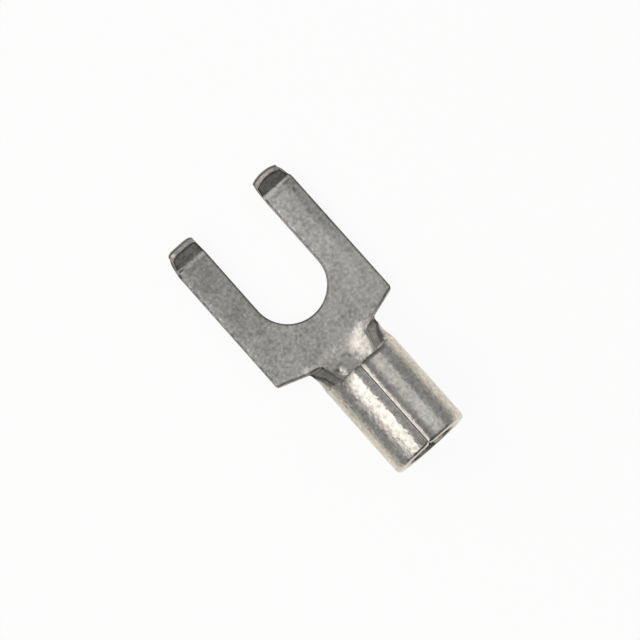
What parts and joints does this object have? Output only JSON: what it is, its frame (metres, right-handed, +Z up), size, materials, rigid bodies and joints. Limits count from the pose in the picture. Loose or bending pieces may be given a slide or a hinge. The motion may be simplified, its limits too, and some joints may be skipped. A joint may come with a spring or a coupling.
{
  "type": "fork terminal",
  "caption": "Flanged fork terminal in tin-plated sheet copper: an open fork with turned-up tips that slides under a screw head, and a rolled barrel that crimps onto a wire.",
  "frame": {"origin": "centre of the slot's round end, where the stud stands, in the plane of the flat underside", "axes": "+Y from the barrel towards the fork's tips, +Z up from the underside towards the barrel's seam, +X to the right with the tips pointing away"},
  "size_m": [0.0098, 0.0209, 0.0056],
  "materials": {
    "tinned_copper": "satin tin plate"
  },
  "bodies": {
    "root": {"fork_terminal": "tinned_copper"}
  },
  "joints": []
}
